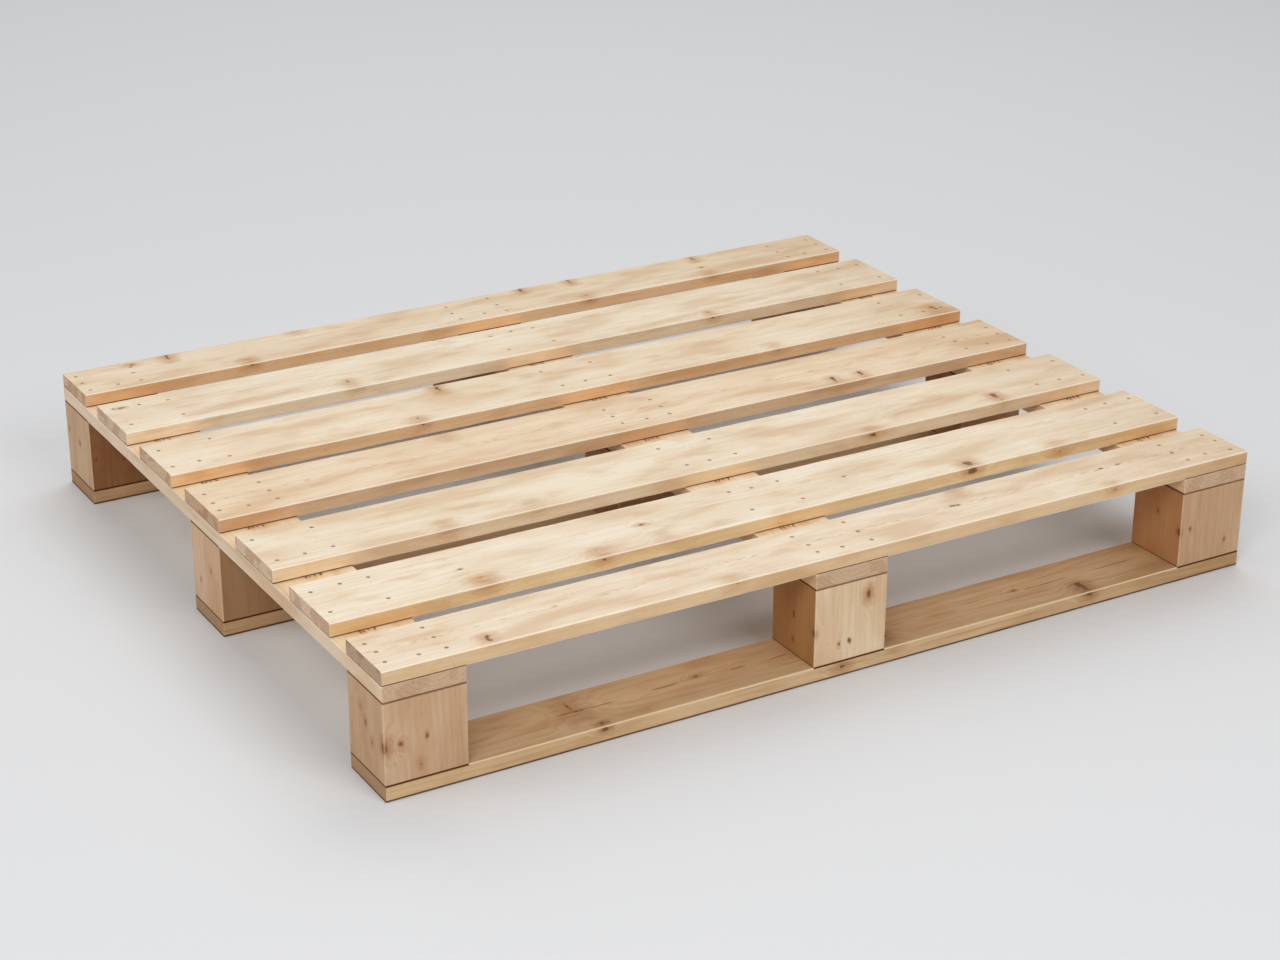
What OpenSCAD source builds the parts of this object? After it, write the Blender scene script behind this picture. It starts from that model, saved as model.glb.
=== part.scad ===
// Wooden block pallet, 1200 x 1000 mm. Seven deck boards lie across three stringer boards,
// nine blocks carry the stringers, and three bottom boards tie the block rows together.
// Every joint is a nailed lap: each nail is a solid in a hole cut to fit it.
//
// Millimetres. The origin is on the ground under the middle of the pallet.
// +X runs along the deck boards, +Y across them and +Z up.

/* [Overall size] */
// Length along the deck boards
pallet_length = 1200; // [800:10:1400]
// Width across the deck boards
pallet_width = 1000; // [900:10:1200]

/* [Deck boards] */
// Number of deck boards between the two outer ones
inner_boards = 5; // [3:2:5]
// Width of the two outer deck boards
outer_board_width = 90; // [75:1:110]
// Width of the inner deck boards
inner_board_width = 110; // [75:1:115]
// Thickness of the deck boards
deck_board_thickness = 18; // [15:1:28]
// Most that an inner deck board stands off its even place, as laid by hand
deck_board_wander = 4; // [0:0.5:5]

/* [Stringer boards] */
// Width of the three boards under the deck
stringer_width = 100; // [80:1:145]
// Thickness of the three boards under the deck
stringer_thickness = 20; // [15:1:28]

/* [Blocks] */
// Size of a block along the deck boards
block_length = 100; // [80:1:145]
// Size of a block across the deck boards
block_width = 90; // [75:1:120]
// Height of a block
block_height = 100; // [78:1:120]

/* [Bottom boards] */
// Width of the three boards on the ground
bottom_board_width = 90; // [75:1:120]
// Thickness of the three boards on the ground
bottom_board_thickness = 20; // [15:1:28]

/* [Edges] */
// Radius of the planed long edges of every board
board_edge_radius = 1.5; // [0.5:0.1:4]
// Radius of the standing edges of a block
block_edge_radius = 1; // [0.5:0.1:4]

/* [Nails] */
// Diameter of a nail's head
nail_head_diameter = 5.6; // [4.6:0.1:8]
// Thickness of a nail's head
nail_head_thickness = 1.2; // [0.8:0.1:2]
// Diameter of a nail's shank
nail_shank_diameter = 2.8; // [2.2:0.1:4]
// Length of a nail's point
nail_point_length = 4; // [2:0.5:6]
// Depth of a nail's head under the face of the wood
nail_sink = 0.4; // [0:0.1:1.5]
// Gap all round a nail in its hole
nail_clearance = 0.1; // [0.1:0.05:0.3]
// Wood left under the point of a nail that ends in a stringer board
deck_nail_cover = 2; // [1:0.5:6]
// Length of a deck nail inside a block
block_nail_bite = 36; // [20:1:42]
// Length of a bottom nail inside a block
bottom_nail_bite = 36; // [20:1:42]
// Distance of a nail from the end of the joint, along the deck boards
nail_end_distance = 14; // [10:1:20]
// Distance of a nail from the edge of an inner deck board
inner_nail_edge_distance = 25; // [12:1:28]
// Distance of a nail from the edge of an outer deck board or a bottom board
outer_nail_edge_distance = 18; // [12:1:22]
// Most that a nail stands off its place in the pattern, as nailed by machine
nail_wander = 3; // [0:0.5:4]

/* [Hidden] */
$fn = 24;
// A cut runs this far past the face that it opens
past_face = 1;
// Picks how the inner deck boards stand off their places
deck_lay = 1318;

deck_count = inner_boards + 2;
middle_board = (deck_count + 1) / 2;
columns = ["left", "centre", "right"];
rows = ["front", "middle", "back"];

bottom_top_z = bottom_board_thickness;
block_top_z = bottom_top_z + block_height;
stringer_top_z = block_top_z + stringer_thickness;
deck_top_z = stringer_top_z + deck_board_thickness;

deck_gap = (pallet_width - 2 * outer_board_width - inner_boards * inner_board_width)
    / (deck_count - 1);

head_radius = nail_head_diameter / 2;
shank_radius = nail_shank_diameter / 2;
deck_nail_length = deck_board_thickness + stringer_thickness - nail_sink - deck_nail_cover;
block_nail_length = deck_board_thickness + stringer_thickness - nail_sink + block_nail_bite;
bottom_nail_length = bottom_board_thickness - nail_sink + bottom_nail_bite;

// What a nail joins: a stringer or bottom board over a block, where both are widest
block_seat_length = min(stringer_width, block_length);
deck_seat_width = min(outer_board_width, block_width);
bottom_seat_width = min(bottom_board_width, block_width);

deck_board_names = [for (i = [1:deck_count]) str("deck_board_", i)];
block_names = [for (row = rows) for (column = columns) str("block_", row, "_", column)];

// Is deck board i one of the three that lie over a row of blocks
function over_blocks(i) = i == 1 || i == middle_board || i == deck_count;

// Width of deck board i
function board_width(i) = i == 1 || i == deck_count ? outer_board_width : inner_board_width;

// How far each deck board would stand off its even place, the same on every run
board_drift = rands(-deck_board_wander, deck_board_wander, deck_count, deck_lay);

// Centre of deck board i across the pallet
function board_y(i) =
    i == 1 || i == deck_count
        ? (i == 1 ? -1 : 1) * (pallet_width - outer_board_width) / 2
        : (i - middle_board) * (inner_board_width + deck_gap) + board_drift[i - 1];

// Centre of a piece of this size, flush with the ends of a span or in its middle. n is 0, 1 or 2
function flush_place(n, span, size) = (n - 1) * (span - size) / 2;

// One random step each way, the same on every run
function off_place(seed) = rands(-nail_wander, nail_wander, 2, seed);

// A group of nails round a centre: two columns of nails at reach_x each side, in the given rows,
// and one more between the columns, on the side given as -1 or 1
function nail_group(centre, reach_x, reach_y, nail_rows, side, seed) = concat(
    [for (column = [-1, 1]) for (row = nail_rows)
        centre + [column * reach_x, row * reach_y] + off_place(seed + 3 * column + row)],
    side == 0 ? [] : [centre + [0, side * reach_y] + off_place(seed + 7)]
);

// Nails of deck board i over stringer j, as places in the deck
function deck_nails(i, j) =
    over_blocks(i)
        ? nail_group(
            [flush_place(j, pallet_length, block_seat_length),
             i == middle_board ? 0 : sign(i - middle_board) * (pallet_width - deck_seat_width) / 2],
            block_seat_length / 2 - nail_end_distance,
            deck_seat_width / 2 - outer_nail_edge_distance,
            [-1, 0, 1], -1, 100 * i + 20 * j)
        : nail_group(
            [flush_place(j, pallet_length, stringer_width), board_y(i)],
            stringer_width / 2 - nail_end_distance,
            inner_board_width / 2 - inner_nail_edge_distance,
            [-1, 1], i % 2 == 0 ? 1 : -1, 100 * i + 20 * j);

// Nails of bottom board k into the block in column j, as places on the ground
function bottom_nails(k, j) = nail_group(
    [flush_place(j, pallet_length, block_seat_length), flush_place(k, pallet_width, bottom_seat_width)],
    block_seat_length / 2 - nail_end_distance,
    bottom_seat_width / 2 - outer_nail_edge_distance,
    [-1, 1], 0, 2000 + 100 * k + 20 * j);

// Length of the nails in deck board i
function top_nail_length(i) = over_blocks(i) ? block_nail_length : deck_nail_length;

// A rectangle with rounded corners, centred
module rounded_rectangle(width, height, radius) {
    square([width - 2 * radius, height], center = true);
    square([width, height - 2 * radius], center = true);
    for (x = [-1, 1], y = [-1, 1])
        translate([x * (width / 2 - radius), y * (height / 2 - radius)])
            circle(r = radius);
}

// A board along X with its long edges rounded, standing on z = 0
module board(length, width, thickness) {
    translate([-length / 2, 0, thickness / 2])
        rotate([90, 0, 90])
            linear_extrude(length)
                rounded_rectangle(width, thickness, board_edge_radius);
}

// A nail driven down from z = 0, with a flat head and a point
module nail(length) {
    rotate_extrude()
        polygon([
            [0, 0],
            [head_radius, 0],
            [head_radius, -nail_head_thickness],
            [shank_radius, -nail_head_thickness],
            [shank_radius, nail_point_length - length],
            [0, -length]
        ]);
}

// The hole for such a nail: a recess for the head and a bore for the shank
module nail_hole(length) {
    translate([0, 0, -nail_head_thickness])
        cylinder(h = nail_head_thickness + nail_sink + past_face, r = head_radius + nail_clearance);
    translate([0, 0, -length - nail_clearance])
        cylinder(h = length + nail_clearance, r = shank_radius + nail_clearance);
}

// Puts its children at each nail of deck board i over stringer j, with the head under the deck's face
module at_deck_nails(i, j) {
    for (place = deck_nails(i, j))
        translate([place.x, place.y, deck_top_z - nail_sink])
            children();
}

// Puts its children at each nail of bottom board k in column j, driven up from the ground
module at_bottom_nails(k, j) {
    for (place = bottom_nails(k, j))
        translate([place.x, place.y, nail_sink])
            mirror([0, 0, 1])
                children();
}

module deck_board(i) {
    color("burlywood")
        difference() {
            translate([0, board_y(i), stringer_top_z])
                board(pallet_length, board_width(i), deck_board_thickness);
            for (j = [0:2])
                at_deck_nails(i, j) nail_hole(top_nail_length(i));
        }
}

module stringer_board(j) {
    color("burlywood")
        difference() {
            translate([flush_place(j, pallet_length, stringer_width), 0, block_top_z])
                rotate([0, 0, 90])
                    board(pallet_width, stringer_width, stringer_thickness);
            for (i = [1:deck_count])
                at_deck_nails(i, j) nail_hole(top_nail_length(i));
        }
}

// The block in row k and column j
module block(k, j) {
    board_over_row = [1, middle_board, deck_count][k];
    color("tan")
        difference() {
            translate([
                flush_place(j, pallet_length, block_length),
                flush_place(k, pallet_width, block_width),
                bottom_top_z
            ])
                linear_extrude(block_height)
                    rounded_rectangle(block_length, block_width, block_edge_radius);
            at_deck_nails(board_over_row, j) nail_hole(block_nail_length);
            at_bottom_nails(k, j) nail_hole(bottom_nail_length);
        }
}

module bottom_board(k) {
    color("burlywood")
        difference() {
            translate([0, flush_place(k, pallet_width, bottom_board_width), 0])
                board(pallet_length, bottom_board_width, bottom_board_thickness);
            for (j = [0:2])
                at_bottom_nails(k, j) nail_hole(bottom_nail_length);
        }
}

// Nails over stringer j: those into the blocks, or those that end in the stringer
module top_nail_set(j, into_blocks) {
    color("dimgray")
        for (i = [1:deck_count])
            if (over_blocks(i) == into_blocks)
                at_deck_nails(i, j) nail(top_nail_length(i));
}

module bottom_nail_set(k) {
    color("dimgray")
        for (j = [0:2])
            at_bottom_nails(k, j) nail(bottom_nail_length);
}

for (i = [1:deck_count])
    deck_board(i);
for (j = [0:2])
    stringer_board(j);
for (k = [0:2], j = [0:2])
    block(k, j);
for (k = [0:2])
    bottom_board(k);
for (j = [0:2])
    top_nail_set(j, false);
for (j = [0:2])
    top_nail_set(j, true);
for (k = [0:2])
    bottom_nail_set(k);
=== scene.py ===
"""Looks of a wooden block pallet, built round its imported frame.

Every timber is a rounded pine board or block with its growth rings, knots and stains, cut with the
holes of its nails, and stands for the CAD node of the same place. The nails stand for theirs.
Lengths are in metres unless a name or docstring says millimetres.
"""

import logging
import math
from dataclasses import dataclass, field
from enum import Enum

import bmesh
import bpy
from mathutils import Euler, Matrix, Vector


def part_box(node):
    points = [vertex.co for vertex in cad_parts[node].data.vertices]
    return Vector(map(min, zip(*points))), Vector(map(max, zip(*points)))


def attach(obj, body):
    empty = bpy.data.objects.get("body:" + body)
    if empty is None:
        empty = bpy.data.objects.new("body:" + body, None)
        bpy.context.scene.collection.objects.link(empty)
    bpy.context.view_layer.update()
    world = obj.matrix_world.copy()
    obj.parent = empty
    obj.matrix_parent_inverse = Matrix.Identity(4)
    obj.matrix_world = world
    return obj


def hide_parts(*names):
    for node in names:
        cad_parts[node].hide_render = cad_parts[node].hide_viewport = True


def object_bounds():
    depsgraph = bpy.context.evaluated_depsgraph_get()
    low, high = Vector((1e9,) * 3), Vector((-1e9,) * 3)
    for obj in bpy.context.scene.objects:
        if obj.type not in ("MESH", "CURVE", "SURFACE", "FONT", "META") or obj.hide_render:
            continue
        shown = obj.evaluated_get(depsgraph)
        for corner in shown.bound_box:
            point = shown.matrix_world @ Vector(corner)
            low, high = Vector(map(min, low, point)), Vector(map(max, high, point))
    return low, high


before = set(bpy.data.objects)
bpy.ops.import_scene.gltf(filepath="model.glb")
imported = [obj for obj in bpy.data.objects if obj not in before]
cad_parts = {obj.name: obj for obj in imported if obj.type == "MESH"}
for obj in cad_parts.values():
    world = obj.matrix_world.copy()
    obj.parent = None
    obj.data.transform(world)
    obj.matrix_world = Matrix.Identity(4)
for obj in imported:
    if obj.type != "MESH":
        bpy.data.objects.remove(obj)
cad_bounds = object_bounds()

LOG = logging.getLogger("pallet")
MM = 0.001


def linear(colour: str) -> tuple[float, float, float, float]:
    """Turns an sRGB hex colour into linear light.

    Args:
        colour: the colour as "#RRGGBB".

    Returns:
        Red, green, blue and an alpha of 1.
    """
    parts = [int(colour[i:i + 2], 16) / 255 for i in (1, 3, 5)]
    return (*(c / 12.92 if c <= 0.04045 else ((c + 0.055) / 1.055) ** 2.4 for c in parts), 1.0)


def add_node(tree: bpy.types.NodeTree, kind: str, inputs: dict | None = None, **settings) -> bpy.types.Node:
    """Adds a node to a tree, with its settings, values and links.

    Args:
        tree: the tree that gets the node.
        kind: the node's type name.
        inputs: what each input holds, by name or number: a value, or a socket to link.
        settings: properties of the node itself.

    Returns:
        The new node.
    """
    node = tree.nodes.new(kind)
    for name, value in settings.items():
        setattr(node, name, value)
    for name, value in (inputs or {}).items():
        if isinstance(value, bpy.types.NodeSocket):
            tree.links.new(value, node.inputs[name])
        else:
            node.inputs[name].default_value = value
    return node


class Grain(Enum):
    """Which way a timber's grain runs, as the turn that takes its own X axis there."""

    ALONG_X = (0.0, 0.0, 0.0)
    ALONG_Y = (0.0, 0.0, math.pi / 2)
    UPRIGHT = (0.0, -math.pi / 2, 0.0)

    @property
    def turn(self) -> Matrix:
        """The turn from the timber's own axes to the frame's."""
        return Euler(self.value).to_matrix()


# ---------------------------------------------------------------------------------------------
# Finishes


@dataclass(frozen=True)
class PineFinish:
    """Pine or spruce, planed or sawn: its colours, the painted shade and highlights laid over them, and how
    its surface was cut.
    """

    name: str = "planed_pine"
    pale: str = "#F8EBD5"  # the cleanest spring growth
    early: str = "#F0DEC2"  # spring growth
    late: str = "#DBBA8E"  # darker summer growth
    tan: str = "#D8B288"  # resinous and weathered patches
    flame: str = "#D3A270"  # long streaks of resin
    edge: str = "#F7E3D0"  # painted shade and warm bounce light on the long edges
    end: str = "#E4C4A6"  # cut fibres of the end grain
    end_patch: str = "#B78A66"  # where an end took up more water
    inside_shade: str = "#FFF6EA"  # painted shade on the faces inside the pallet, which lie out of the light
    one_end_tint: str = "#FFFFFF"  # tint that darkens the timber towards one end along the grain
    arris_highlight: str = "#FFF1DC"  # painted highlight on the long edges
    joint: str = "#5C2B0D"  # dirt and painted shade in the joints and along the ground
    stain: str = "#C48F5A"  # resin round a knot
    knot: str = "#8C5630"  # branch wood
    bark: str = "#4C2A16"  # rim of a dead knot
    ring_mm: float = 6.0  # width of a year's growth
    ring_share: float = 0.26  # how strongly the summer lines show
    patch_share: float = 0.50  # how strongly the tan patches show
    flame_share: float = 0.28  # how strongly the streaks show
    fleck_share: float = 0.50  # how strongly the short flecks show
    dash_mm: tuple[float, float] = (14.0, 2.2)  # size of the flecks along the pith
    dash_share: float = 0.55  # how strongly they show
    arris_highlight_share: float = 0.8  # how strong the painted highlight on the long edges is
    seam_share: float = 0.0  # how dark the dirt and painted shade in the joints at its ends are
    roughness: float = 0.56


@dataclass(frozen=True)
class Knot:
    """One branch through a timber, with the resin stain round it.

    Lengths are in millimetres, and both tuples lie along the frame's axes.
    """

    at: tuple[float, float, float]  # its middle, from the timber's lowest corner
    radius: float = 2.0  # of the branch wood
    halo: float = 12.0  # how far out the stain goes
    heading: tuple[float, float, float] = (0.0, 1.0, 0.15)
    reach: float = 14.0  # how far it runs each way along its heading
    strength: float = 0.6  # how dark the stain is


def knot_group() -> bpy.types.ShaderNodeTree:
    """Makes the node group that finds how near a point is to one branch.

    Returns:
        The group. Core is the branch wood, Rim its bark, Halo its stain and Flow the bend that it
        puts in the growth rings, each from 0 to 1.
    """
    tree = bpy.data.node_groups.new("branch_through_timber", "ShaderNodeTree")
    for name, kind in (("Vector", "Vector"), ("Centre", "Vector"), ("Heading", "Vector"),
                       ("Reach", "Float"), ("Radius", "Float"), ("Halo", "Float"), ("Strength", "Float")):
        tree.interface.new_socket(name, in_out="INPUT", socket_type=f"NodeSocket{kind}")
    for name in ("Core", "Rim", "Halo", "Flow"):
        tree.interface.new_socket(name, in_out="OUTPUT", socket_type="NodeSocketFloat")
    given = add_node(tree, "NodeGroupInput").outputs
    away = add_node(tree, "ShaderNodeVectorMath", {0: given["Vector"], 1: given["Centre"]},
                    operation="SUBTRACT")
    along = add_node(tree, "ShaderNodeVectorMath", {0: away.outputs[0], 1: given["Heading"]},
                     operation="DOT_PRODUCT")
    back = add_node(tree, "ShaderNodeMath", {0: given["Reach"], 1: -1.0}, operation="MULTIPLY")
    held = add_node(tree, "ShaderNodeClamp",
                    {"Value": along.outputs["Value"], "Min": back.outputs[0], "Max": given["Reach"]})
    step = add_node(tree, "ShaderNodeVectorMath", {0: given["Heading"], "Scale": held.outputs[0]},
                    operation="SCALE")
    off = add_node(tree, "ShaderNodeVectorMath", {0: away.outputs[0], 1: step.outputs[0]},
                   operation="SUBTRACT")
    # A branch leans along the trunk, so its cut face is longer along the grain.
    oval = add_node(tree, "ShaderNodeVectorMath", {0: off.outputs[0], 1: (0.55, 1.0, 1.0)},
                    operation="MULTIPLY")
    far = add_node(tree, "ShaderNodeVectorMath", {0: oval.outputs[0]},
                   operation="LENGTH").outputs["Value"]
    # The branch wood is whole out to about half its radius, and its bark ends half a radius outside it.
    inner = add_node(tree, "ShaderNodeMath", {0: given["Radius"], 1: 0.55},
                     operation="MULTIPLY").outputs[0]
    outer = add_node(tree, "ShaderNodeMath", {0: given["Radius"], 1: 1.5},
                     operation="MULTIPLY").outputs[0]
    core = add_node(tree, "ShaderNodeMapRange",
                    {"Value": far, "From Min": given["Radius"], "From Max": inner},
                    interpolation_type="SMOOTHSTEP")
    around = add_node(tree, "ShaderNodeMapRange",
                      {"Value": far, "From Min": outer, "From Max": given["Radius"]},
                      interpolation_type="SMOOTHSTEP")
    rim = add_node(tree, "ShaderNodeMath", {0: around.outputs[0], 1: core.outputs[0]},
                   operation="SUBTRACT")
    halo = add_node(tree, "ShaderNodeMapRange",
                    {"Value": far, "From Min": given["Halo"], "From Max": 0.0, "To Max": given["Strength"]},
                    interpolation_type="SMOOTHSTEP")
    # The growth rings bend a little further out than the stain goes.
    bent = add_node(tree, "ShaderNodeMath", {0: given["Halo"], 1: 1.6}, operation="MULTIPLY")
    flow = add_node(tree, "ShaderNodeMapRange",
                    {"Value": far, "From Min": bent.outputs[0], "From Max": 0.0},
                    interpolation_type="SMOOTHERSTEP")
    add_node(tree, "NodeGroupOutput", {"Core": core.outputs[0], "Rim": rim.outputs[0],
                                       "Halo": halo.outputs[0], "Flow": flow.outputs[0]})
    return tree


# Sizes of the wood's patterns in millimetres, along the grain and across it
CLOUDS = (130.0, 38.0)  # slow change between pale and tan wood
PATCHES = (55.0, 20.0)
FAINT_RINGS = (150.0, 20.0)  # where the summer lines are faint or strong
FLAMES = (120.0, 4.0)
FLECKS = (9.0, 1.4)
FIBRES = (40.0, 1.3)  # coarser than real fibres, so that they show
STREAKS = (26.0, 3.0)  # how a knot's stain follows the fibres
DAMP = (400.0, 24.0)  # where an end took up water
PORES = (2.0, 1.7)  # coarser than real ones, so that they show
# Ripples in a growth ring: their size as above, and how many years they move it
RIPPLES = (((220.0, 22.0), 2.2), ((60.0, 7.0), 0.5))
WANDER_PER_METRE = 1.9  # how often a trunk changes its course
WANDER = (0.0, 26 * MM, 20 * MM)  # how far it goes each time
KNOT_UNREST = Vector((10.0, 4.0, 4.0)) * MM  # how far a knot's outline is pulled out of round
KNOT_YEARS = 1.8  # how many years a knot moves the rings round it
SHEEN = 0.35  # planed wood reflects less than a smooth plastic of the same index


class PineMaterial:
    """Solid pine for one timber, laid on layer by layer.

    Every layer is a pattern in the timber's own space, with X along the grain, so that its top, edges and
    ends are cuts through one trunk. The eye sees pale wood with darker summer lines, tan patches and
    streaks, short flecks of resin and knots. A noise keeps mostly between 0.3 and 0.7, and so do the
    levels at which a layer starts to show and shows fully.
    """

    def __init__(self, timber: "Timber", branch: bpy.types.ShaderNodeTree) -> None:
        """Starts the material.

        Args:
            timber: the board or block that it is for.
            branch: the node group for one branch.
        """
        self.timber, self.finish, self.branch = timber, timber.finish, branch
        self.material = bpy.data.materials.new(f"{timber.finish.name}_{timber.node}")
        self.material.use_nodes = True
        self.tree = self.material.node_tree
        self.tree.nodes.clear()
        self.place = add_node(self.tree, "ShaderNodeTexCoord").outputs["Object"]
        self.own = add_node(self.tree, "ShaderNodeMapping",
                            {"Vector": self.place, "Location": timber.centre,
                             "Rotation": timber.grain.value}, vector_type="TEXTURE").outputs[0]
        self.wood: bpy.types.NodeSocket | tuple[float, ...] = linear(self.finish.early)
        self.dirt_and_shade: list[bpy.types.NodeSocket] = []

    def pattern(self, size_mm: tuple[float, float], detail: float = 2.0, shift: float = 0.0,
                ) -> bpy.types.NodeSocket:
        """Adds a noise that is stretched along the grain.

        Args:
            size_mm: the size of its features along the grain and across it.
            detail: how many finer noises it holds.
            shift: what sets it apart from the timber's other patterns.

        Returns:
            The noise, from 0 to 1 with a mean of a half.
        """
        along, across = (1 / (size * MM) for size in size_mm)
        seed = 7.31 * self.timber.seed
        at = add_node(self.tree, "ShaderNodeVectorMath",
                      {0: self.own, 1: (along, across, across), 2: (seed, shift, seed + shift)},
                      operation="MULTIPLY_ADD")
        return add_node(self.tree, "ShaderNodeTexNoise",
                        {"Vector": at.outputs[0], "Scale": 1.0, "Detail": detail}).outputs[0]

    def lay(self, share: bpy.types.NodeSocket | float, colour: str | bpy.types.NodeSocket,
            blend: str = "MIX") -> None:
        """Lays a colour over the wood so far.

        Args:
            share: how much of it shows.
            colour: a hex colour, or a socket.
            blend: how the two are blended.
        """
        above = linear(colour) if isinstance(colour, str) else colour
        self.wood = add_node(self.tree, "ShaderNodeMix", {"Factor": share, "A": self.wood, "B": above},
                             data_type="RGBA", blend_type=blend).outputs["Result"]

    def lay_where(self, value: bpy.types.NodeSocket, start: float, full: float, share: float, colour: str,
                  blend: str = "MIX") -> None:
        """Lays a colour where a value passes a threshold.

        Args:
            value: the value.
            start: where the colour starts to show.
            full: where it shows fully.
            share: how much of it then shows.
            colour: a hex colour.
            blend: how the two are blended.
        """
        shown = add_node(self.tree, "ShaderNodeMapRange",
                         {"Value": value, "From Min": start, "From Max": full, "To Max": share},
                         interpolation_type="SMOOTHSTEP")
        self.lay(shown.outputs[0], colour, blend)

    def trunk(self) -> bpy.types.NodeSocket:
        """Finds how many years of growth lie between the pith and a point.

        Returns:
            The number of years, with the trunk's wander and each ring's ripples in it.
        """
        tree, timber = self.tree, self.timber
        stretch = add_node(tree, "ShaderNodeVectorMath",
                           {0: self.own, 1: (WANDER_PER_METRE, 0.0, 0.0), 2: (0.0, timber.seed * 3.7, 0.5)},
                           operation="MULTIPLY_ADD")
        wander = add_node(tree, "ShaderNodeTexNoise",
                          {"Vector": stretch.outputs[0], "Scale": 1.0, "Detail": 1.5})
        middle = add_node(tree, "ShaderNodeVectorMath", {0: wander.outputs["Color"], 1: (0.5, 0.5, 0.5)},
                          operation="SUBTRACT")
        stray = add_node(tree, "ShaderNodeVectorMath",
                         {0: middle.outputs[0], 1: WANDER, 2: self.own}, operation="MULTIPLY_ADD")
        along = add_node(tree, "ShaderNodeSeparateXYZ", {0: self.own}).outputs[0]
        lean = add_node(tree, "ShaderNodeVectorMath", {0: (0.0, *timber.lean), "Scale": along},
                        operation="SCALE")
        leant = add_node(tree, "ShaderNodeVectorMath", {0: stray.outputs[0], 1: lean.outputs[0]},
                         operation="SUBTRACT")
        heart = (0.0, timber.heart_mm[0] * MM, timber.heart_mm[1] * MM)
        spoke = add_node(tree, "ShaderNodeVectorMath", {0: leant.outputs[0], 1: heart},
                         operation="SUBTRACT")
        flat = add_node(tree, "ShaderNodeVectorMath", {0: spoke.outputs[0], 1: (0.0, 1.0, 1.0)},
                        operation="MULTIPLY")
        radial = add_node(tree, "ShaderNodeVectorMath", {0: flat.outputs[0]},
                          operation="LENGTH").outputs["Value"]
        years = add_node(tree, "ShaderNodeMath", {0: radial, 1: 1 / (self.finish.ring_mm * MM)},
                         operation="MULTIPLY").outputs[0]
        for size_mm, swing in RIPPLES:
            years = add_node(tree, "ShaderNodeMath",
                             {0: self.pattern(size_mm, 2.0, swing), 1: swing, 2: years},
                             operation="MULTIPLY_ADD").outputs[0]
        return years

    def branches(self, years: bpy.types.NodeSocket,
                 ) -> tuple[bpy.types.NodeSocket, dict[str, bpy.types.NodeSocket]]:
        """Adds the timber's knots.

        Args:
            years: the years of growth at a point.

        Returns:
            The years, bent round the knots, and the knots' greatest Core, Rim and Halo.
        """
        tree = self.tree
        # A knot's outline is uneven over about 9 mm and less.
        shaken = add_node(tree, "ShaderNodeTexNoise", {"Vector": self.own, "Scale": 110.0, "Detail": 3.0})
        unrest = add_node(tree, "ShaderNodeVectorMath",
                          {0: shaken.outputs["Color"], 1: KNOT_UNREST, 2: self.own},
                          operation="MULTIPLY_ADD")
        # A noise averages a half, so that much of its shift is taken off again.
        point = add_node(tree, "ShaderNodeVectorMath", {0: unrest.outputs[0], 1: KNOT_UNREST / 2},
                         operation="SUBTRACT").outputs[0]
        most: dict[str, bpy.types.NodeSocket] = {}
        for knot in self.timber.knots:
            centre, heading = self.timber.to_own_axes(knot)
            near = add_node(tree, "ShaderNodeGroup", node_tree=self.branch)
            tree.links.new(point, near.inputs["Vector"])
            for name, value in (("Centre", centre), ("Heading", heading), ("Reach", knot.reach * MM),
                                ("Radius", knot.radius * MM), ("Halo", knot.halo * MM),
                                ("Strength", knot.strength)):
                near.inputs[name].default_value = value
            years = add_node(tree, "ShaderNodeMath", {0: near.outputs["Flow"], 1: KNOT_YEARS, 2: years},
                             operation="MULTIPLY_ADD").outputs[0]
            for name in ("Core", "Rim", "Halo"):
                most[name] = near.outputs[name] if name not in most else add_node(
                    tree, "ShaderNodeMath", {0: most[name], 1: near.outputs[name]},
                    operation="MAXIMUM").outputs[0]
        return years, most

    def summer_lines(self, years: bpy.types.NodeSocket) -> bpy.types.NodeSocket:
        """Turns years of growth into summer lines, which rise slowly and stop at once.

        Args:
            years: the years of growth at a point.

        Returns:
            How much summer growth is there, from 0 to 1.
        """
        year = add_node(self.tree, "ShaderNodeMath", {0: years}, operation="FRACT").outputs[0]
        late = add_node(self.tree, "ShaderNodeValToRGB", {"Fac": year})
        # Each stop is a part of the year and the summer growth by then.
        late.color_ramp.interpolation = "EASE"
        for spot, level in ((0.40, 0.08), (0.78, 0.8), (0.90, 1.0)):
            late.color_ramp.elements.new(spot).color = (level, level, level, 1.0)
        late.color_ramp.elements[0].color = late.color_ramp.elements[-1].color = (0.0, 0.0, 0.0, 1.0)
        return late.outputs[0]

    def figure(self, late: bpy.types.NodeSocket) -> None:
        """Lays on the summer lines, patches, streaks and flecks.

        Args:
            late: how much summer growth is at a point.
        """
        finish = self.finish
        cloud = self.pattern(CLOUDS, 2.0, 1.0)
        self.lay_where(cloud, 0.52, 0.34, 0.7, finish.pale)
        # The summer lines never go below a tenth.
        shown = add_node(self.tree, "ShaderNodeMapRange",
                         {"Value": self.pattern(FAINT_RINGS, 2.0, 2.0), "From Min": 0.36, "From Max": 0.62,
                          "To Min": 0.10, "To Max": finish.ring_share})
        lines = add_node(self.tree, "ShaderNodeMath", {0: late, 1: shown.outputs[0]},
                         operation="MULTIPLY")
        self.lay(lines.outputs[0], finish.late)
        self.lay_where(cloud, 0.50, 0.68, finish.patch_share, finish.tan)
        self.lay_where(self.pattern(PATCHES, 3.0, 3.0), 0.52, 0.76, 0.8 * finish.patch_share, finish.tan)
        self.lay_where(self.pattern(FLAMES, 2.0, 4.0), 0.60, 0.76, finish.flame_share, finish.flame)
        self.lay_where(self.pattern(FLECKS, 1.0, 5.0), 0.68, 0.76, finish.fleck_share, finish.flame)
        if self.timber.fleck_mm is not None:
            self.pith_flecks(self.timber.fleck_mm)

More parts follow.
